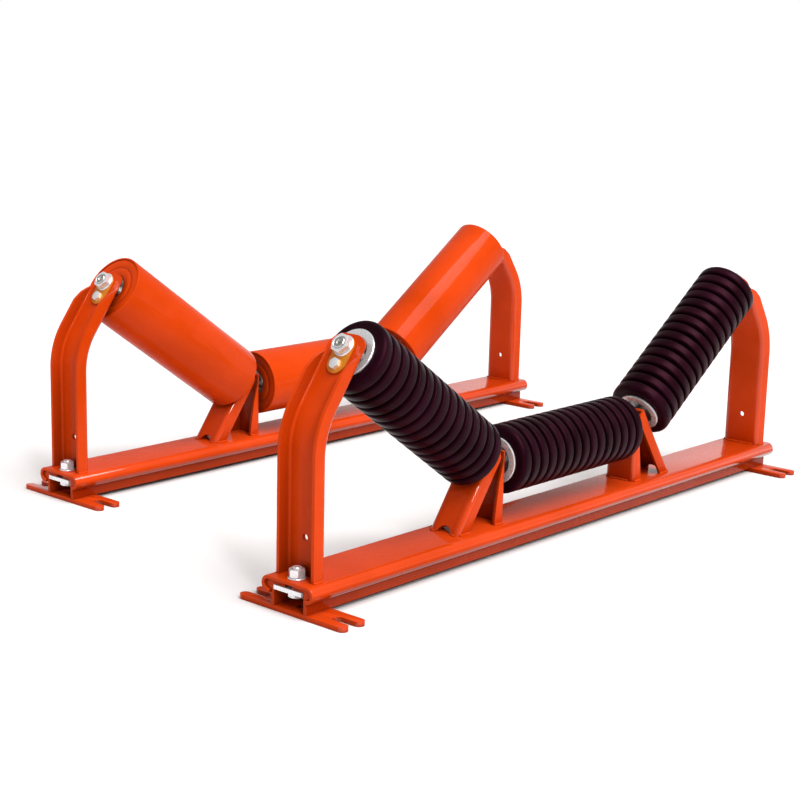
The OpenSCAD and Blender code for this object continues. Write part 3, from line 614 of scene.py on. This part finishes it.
def turned(bm, profile, matrix, steps, closed=False):
    """Turns profiles of radius and height about Z and lays them in place by a matrix."""
    before, lines = set(bm.verts), []
    for outline in profile if isinstance(profile[0], list) else [profile]:
        verts = [bm.verts.new((radius, 0, height)) for radius, height in outline]
        edges = [bm.edges.new(pair) for pair in zip(verts, verts[1:])]
        if closed:
            edges.append(bm.edges.new((verts[-1], verts[0])))
        lines += verts + edges
    bmesh.ops.spin(bm, geom=lines, axis=(0, 0, 1), cent=(0, 0, 0), angle=2 * math.pi,
                   steps=steps, use_merge=True)
    made = [v for v in bm.verts if v not in before]
    bmesh.ops.transform(bm, matrix=matrix, verts=made)
    return made


def thread(outer, start, end, pitch=2.5):
    """The profile of a cut thread from one height to another."""
    turns = int((end - start) / pitch)
    root = outer - 0.55 * pitch
    steps = ((outer, 0.12), (outer, 0.3), (root, 0.65), (root, 0.78))
    return [(radius, start + (turn + part) * pitch) for turn in range(turns)
            for radius, part in steps]


def bare_metal(name, colour, rough, speckle, tint, metallic=1.0):
    """Bare or plated metal: a faint crystal pattern, fine drawing marks and dull patches."""
    finish = Finish(name, Metallic=metallic, Specular_IOR_Level=0.5)
    dull = finish.steps(finish.noise(45.0, 5), 0.4, 0.75)
    crystal = finish.node("ShaderNodeTexVoronoi", None,
                          {"Vector": finish.place, "Scale": speckle})
    body = finish.mix(crystal * 0.9, colour + (1,), tuple(0.85 * c for c in colour) + (1,))
    finish.feed("Base Color", finish.mix(dull * 0.5, body, tint + (1,)))
    finish.feed("Roughness", dull * 0.18 + finish.noise(300.0, 3) * 0.14 + rough)
    finish.ridges(finish.noise(900.0, 2), 0.12, 0.0002)
    return finish.material


drawn_steel = bare_metal("drawn_steel", (0.60, 0.59, 0.57), 0.2, 900.0, (0.42, 0.38, 0.33))
SHAFT_R, THREAD_R, NECK, STUB, LONG_STUB = 12.5, 10, 10, 27.5, 35
SHAFT_END = ((0, 7), (1.6, 7), (1.6, 4), (4.2, 0), (8.6, 0), (THREAD_R, 1.4))
SHOULDER_STEP = ((THREAD_R, 0), (SHAFT_R - 0.5, 0), (SHAFT_R, 0.5))
for idler in IDLERS:
    bm = bmesh.new()
    for roll in ROLLS:
        low, high = -STUB, ROLL_LEN + (STUB if roll == "centre" else LONG_STUB)
        far = ROLL_LEN + NECK
        profile = [(r, low + d) for r, d in SHAFT_END] + thread(THREAD_R, low + 2, -NECK - 1)
        profile += [(r, d - NECK) for r, d in SHOULDER_STEP]
        profile += [(r, far - d) for r, d in reversed(SHOULDER_STEP)]
        profile += thread(THREAD_R, far + 1, high - 2.2)
        profile += [(r, high - d) for r, d in reversed(SHAFT_END)]
        turned(bm, profile, placed(roll), 40)
    piece(f"shafts_dressed_{idler}", bm, idler, f"frame_{idler}", [drawn_steel],
          [f"shafts_{idler}"])

# ---------- Shaft nuts ----------
# Zinc-plated hexagon nuts: thin ones on the inner shaft ends against the legs, and full
# ones with a washer on the outer ends over the keeper plates.


def hexagon(bm, across, high, matrix, bore=0):
    """A chamfered hexagon nut with a bore, or with none a bolt's head, on z = 0."""
    flat = across / 2
    crest = 0.93 * flat
    side = [(crest, 0), (across, 0), (across, high), (crest, high)]
    if bore:
        side += [(bore + 1.3, high), (bore, high - 1.2), (bore, 1.2), (bore + 1.3, 0)]
        made = turned(bm, side, Matrix(), 48, True)
    else:
        made = turned(bm, [(0, 0)] + side + [(0, high)], Matrix(), 48)
    for vert in made:
        if math.hypot(vert.co.x, vert.co.y) > 0.99 * across:
            angle = math.atan2(vert.co.y, vert.co.x)
            out = flat / math.cos((angle + math.pi / 6) % (math.pi / 3) - math.pi / 6)
            drop = (out - crest) * math.tan(math.radians(30))
            up_to = high - drop if vert.co.z > high / 2 else drop if bore else 0
            vert.co = (out * math.cos(angle), out * math.sin(angle), up_to)
    bmesh.ops.transform(bm, matrix=matrix, verts=made)


def washer(bm, inner, outer, thick, matrix):
    """A flat washer, its edges rounded by the punch."""
    turned(bm, [(inner, 0.4), (inner + 0.4, 0), (outer - 0.5, 0), (outer, 0.5),
                (outer, thick - 0.9), (outer - 0.9, thick), (inner + 0.4, thick),
                (inner, thick - 0.4)], matrix, 64, True)


bright_zinc = bare_metal("bright_zinc", (0.86, 0.86, 0.88), 0.15, 520.0, (0.66, 0.66, 0.66), 0.6)
KEEPER, WASHER, WASHER_R, GAP = 4, 2.5, 18.5, 0.05
NUT_ACROSS, NUT_BORE, THIN_NUT, FULL_NUT = 30, THREAD_R + GAP, 10, 11
OVER_LEG, OVER_KEEPER = LEG_GAP + PLATE, STAND_OUT - ROLL_LEN + PLATE + KEEPER
NUT_TURNS = {"left": 12, "centre": 3, "right": 21}
flipped = Matrix.Diagonal((1, 1, -1, 1))
for idler in IDLERS:
    bm = bmesh.new()
    for roll in ROLLS:
        near = placed(roll)
        far = near @ Matrix.Translation((0, 0, ROLL_LEN))
        turn = Matrix.Rotation(math.radians(NUT_TURNS[roll]), 4, "Z")
        hexagon(bm, NUT_ACROSS, THIN_NUT,
                near @ Matrix.Translation((0, 0, -OVER_LEG)) @ flipped @ turn, NUT_BORE)
        if roll == "centre":
            hexagon(bm, NUT_ACROSS, THIN_NUT,
                    far @ Matrix.Translation((0, 0, OVER_LEG)) @ turn, NUT_BORE)
        else:
            under = far @ Matrix.Translation((0, 0, OVER_KEEPER))
            washer(bm, THREAD_R + 0.4, WASHER_R, WASHER, under)
            seat = far @ Matrix.Translation((0, 0, OVER_KEEPER + WASHER + GAP))
            hexagon(bm, NUT_ACROSS, FULL_NUT, seat @ turn, NUT_BORE)
    piece(f"shaft_nuts_dressed_{idler}", bm, idler, f"frame_{idler}", [bright_zinc],
          [f"shaft_nuts_{idler}"])

# ---------- Keeper plates ----------
# Round-ended plates, zinc plated and yellow passivated, under the outer shaft nuts. A
# small bolt through the lower end keeps each one and its shaft from turning.


def at_tip(depth):
    """The right stand's tip at a depth from its back: X out along the shaft, Z up the slope."""
    return Matrix.Translation((TOP_X, 0, TOP_Z)) @ Matrix.Rotation(-TROUGH, 4, "Y") \
        @ Matrix.Translation((depth, 0, 0))


yellow_zinc = bare_metal("yellow_zinc", (0.80, 0.27, 0.02), 0.24, 380.0, (0.70, 0.16, 0.02), 0.6)
KEEPER_HALF, KEEPER_LOW = 19, -47
for idler in IDLERS:
    bm = bmesh.new()
    for side in (-1, 1):
        before = set(bm.verts)
        corners = ((KEEPER_HALF, KEEPER_HALF), (-KEEPER_HALF, KEEPER_HALF),
                   (-KEEPER_HALF, KEEPER_LOW), (KEEPER_HALF, KEEPER_LOW))
        plate = rounded_face(bm, [(Vector((0, y, z)), KEEPER_HALF - 0.1) for y, z in corners], 10)
        pushed(bm, plate, (KEEPER - GAP, 0, 0))
        bmesh.ops.transform(bm, matrix=Matrix.Diagonal((side, 1, 1, 1)) @ at_tip(PLATE + GAP),
                            verts=[v for v in bm.verts if v not in before])
    softened(bm, 0.7, 50)
    piece(f"keeper_plates_dressed_{idler}", bm, idler, f"frame_{idler}",
          [yellow_zinc], [f"keeper_plates_{idler}"])

# ---------- Keeper bolts ----------
# One small zinc-plated hexagon bolt for each keeper plate, screwed into the stand.

BOLT_Z, BOLT_R, BOLT_ACROSS, BOLT_HEAD = -32, 5, 17, 6.5
for idler in IDLERS:
    bm = bmesh.new()
    for side in (-1, 1):
        place = Matrix.Diagonal((side, 1, 1, 1)) @ at_tip(0) \
            @ Matrix.Translation((0, 0, BOLT_Z)) @ Matrix.Rotation(math.pi / 2, 4, "Y")
        turned(bm, [(0, 0.2), (3.6, 0.2), (BOLT_R, 1.6), (BOLT_R, 11), (0, 11)], place, 32)
        hexagon(bm, BOLT_ACROSS, BOLT_HEAD, place @ Matrix.Translation((0, 0, PLATE + KEEPER))
                @ Matrix.Rotation(0.3, 4, "Z"))
    piece(f"keeper_bolts_dressed_{idler}", bm, idler, f"frame_{idler}", [bright_zinc],
          [f"keeper_bolts_{idler}"])

# ---------- Base clamps ----------
# A bolt through the left end of each base pulls a plate up under the rail's top, which
# locks the sliding base. Slack it off and the whole idler slides out.

CLAMP_X, CLAMP_Z, CLAMP_R, CLAMP_LEN = -678, 36.7, 8, 38.7
CLAMP_ACROSS, CLAMP_HEAD, CLAMP_NUT, CLAMP_WASHER_R = 24, 10.4, 13.6, 14.9
for idler in IDLERS:
    bm = bmesh.new()
    head = Matrix.Translation((CLAMP_X, 0, CLAMP_Z))
    hexagon(bm, CLAMP_ACROSS, CLAMP_HEAD, head @ flipped)
    profile = [(0, 0), (CLAMP_R, 0), (CLAMP_R, 18)] + thread(CLAMP_R, 18, 36.5, 2)
    profile += [(CLAMP_R, CLAMP_LEN - 1.4), (CLAMP_R - 1.4, CLAMP_LEN), (0, CLAMP_LEN)]
    turned(bm, profile, head, 40)
    piece(f"clamp_bolt_dressed_{idler}", bm, idler, f"frame_{idler}", [bright_zinc],
          [f"clamp_bolt_{idler}"])
    bm = bmesh.new()
    seat = Matrix.Translation((CLAMP_X, 0, BASE_Z))
    washer(bm, CLAMP_R + 0.4, CLAMP_WASHER_R, WASHER, seat)
    hexagon(bm, CLAMP_ACROSS, CLAMP_NUT, seat @ Matrix.Translation((0, 0, WASHER + GAP))
            @ Matrix.Rotation(0.4, 4, "Z"), CLAMP_R + GAP)
    piece(f"clamp_nut_dressed_{idler}", bm, idler, f"frame_{idler}", [bright_zinc],
          [f"clamp_nut_{idler}"])

# ---------- Steel rolls ----------
# Steel tube with its rims turned and rounded, closed by dished pressed covers that are
# swaged in just inside them. Painted with the frames, but with less sheen.

roll_paint = glossy_paint("roll_paint", ORANGE, 0.1)
TUBE_END = ((62.5, 0.6), (63.1, 0), (64.5, 0), (65.27, 0.15), (65.91, 0.59), (66.35, 1.23),
            (66.5, 2))
COVER = [(62.45, 15.5), (62.45, 3.4), (61.9, 2.1), (60.6, 1.5), (47.6, 1.5), (46.4, 1.9),
         (45.6, 2.7), (44.25, 3.1), (42.9, 2.7), (42.1, 1.9), (40.9, 1.5), (29, 1.5),
         (27.2, 1.9), (26.3, 2.8), (26.05, 4), (26.05, 31), (23, 31), (23, 33.5),
         (28.55, 33.5), (28.55, 6), (30, 4.2), (58.5, 4.2), (59.9, 5.6), (59.9, 15.5)]
for roll in ROLLS:
    bm = bmesh.new()
    tube = list(TUBE_END) + [(r, ROLL_LEN - z) for r, z in reversed(TUBE_END)]
    turned(bm, tube, placed(roll), 128, True)
    piece(f"tube_dressed_{roll}", bm, "plain", f"roll_plain_{roll}",
          [roll_paint], [f"tube_{roll}"])
    bm = bmesh.new()
    for end in (Matrix(), Matrix.Translation((0, 0, ROLL_LEN)) @ flipped):
        turned(bm, COVER, placed(roll) @ end, 96, True)
    piece(f"covers_dressed_{roll}", bm, "plain", f"roll_plain_{roll}",
          [roll_paint], [f"housings_plain_{roll}"])

# ---------- Impact rolls ----------
# Fifteen moulded rubber discs pressed on a steel core tube for each roll, each with a
# narrower round-edged tread. A zinc-plated ring at both ends holds them together.


def rubber(name):
    """Black moulded rubber: fine grain, a dull bloom, a little dust and a painted red-purple
    reflection.
    """
    # the red-purple reflection tint is a painted reflection of the orange frames
    finish = Finish(name, Specular_IOR_Level=0.07, Specular_Tint=(1.0, 0.25, 0.45, 1))
    bloom = finish.steps(finish.noise(16.0, 5), 0.38, 0.72)
    dust = finish.steps(finish.noise(260.0, 6), 0.6, 0.8)
    # the red-purple cast in these blacks is a painted reflection of the orange frames
    body = finish.mix(bloom, (0.007, 0.0010, 0.0026, 1), (0.015, 0.0022, 0.0060, 1))
    finish.feed("Base Color", finish.mix(dust * 0.15, body, (0.04, 0.012, 0.016, 1)))
    finish.feed("Roughness", bloom * 0.12 + dust * 0.1 + 0.3)
    finish.ridges(finish.noise(1300.0, 3) + finish.noise(170.0, 4) * 0.5, 0.3, 0.0004)
    return finish.material


black_rubber = rubber("black_rubber")
DISCS, DISC_R, DISC_BORE, TREAD_R = 15, 62, 31.8, 3.5
END_RING, SHOULDER = 4, 9
RING_END = ((29, 0.7), (29.7, 0), (41.2, 0), (42, 0.8))
for roll in ROLLS:
    pitch = (ROLL_LEN - 2 * END_RING) / DISCS
    side = [(DISC_BORE, 0.15), (45.2, 0.15), (46.4, 0.6), (47.2, 1.5), (47.9, 2.8), (49.2, 3.5),
            (DISC_R - TREAD_R, 3.5)]
    side += [(DISC_R - TREAD_R + TREAD_R * math.sin(math.radians(a)),
              2 * TREAD_R - TREAD_R * math.cos(math.radians(a))) for a in range(18, 91, 18)]
    face = [(DISC_BORE, 0), (DISC_R - SHOULDER, 0)]
    face += [(DISC_R - SHOULDER + SHOULDER * math.sin(math.radians(a)),
              SHOULDER - SHOULDER * math.cos(math.radians(a))) for a in range(15, 91, 15)]
    outlines = []
    for disc in range(DISCS):
        z = END_RING + disc * pitch
        first, last = face if disc == 0 else side, face if disc == DISCS - 1 else side
        outlines.append([(r, z + h) for r, h in first] +
                        [(r, z + pitch - h) for r, h in reversed(last)])
    bm = bmesh.new()
    turned(bm, outlines, placed(roll), 72, True)
    piece(f"discs_dressed_{roll}", bm, "impact", f"roll_impact_{roll}",
          [black_rubber], [f"discs_{roll}"])
    bm = bmesh.new()
    for z in (0, ROLL_LEN - END_RING):
        turned(bm, [(r, z + h) for r, h in RING_END] +
               [(r, z + END_RING - h) for r, h in reversed(RING_END)], placed(roll), 96, True)
    piece(f"end_rings_dressed_{roll}", bm, "impact", f"roll_impact_{roll}",
          [bright_zinc], [f"end_rings_{roll}"])

# ---------- Hidden works ----------
# Core tubes, bearing cups, bearings and clamp plates keep their modelled shapes: rolled
# steel for the tubes and cups, ground steel for the bearings, zinc for the clamp plates.

rolled_steel = bare_metal("rolled_steel", (0.30, 0.29, 0.28), 0.34, 260.0, (0.16, 0.13, 0.11))
ground_steel = bare_metal("ground_steel", (0.52, 0.52, 0.53), 0.16, 1500.0, (0.36, 0.35, 0.33))
for material, names in ((rolled_steel, ("core_tube", "housings_impact")),
                        (bright_zinc, ("clamp_plate",)),
                        (ground_steel, ("shaft_rings", "outer_rings", "cage"))):
    for node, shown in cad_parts.items():
        if node.startswith(names):
            shown.data.materials.clear()
            shown.data.materials.append(material)
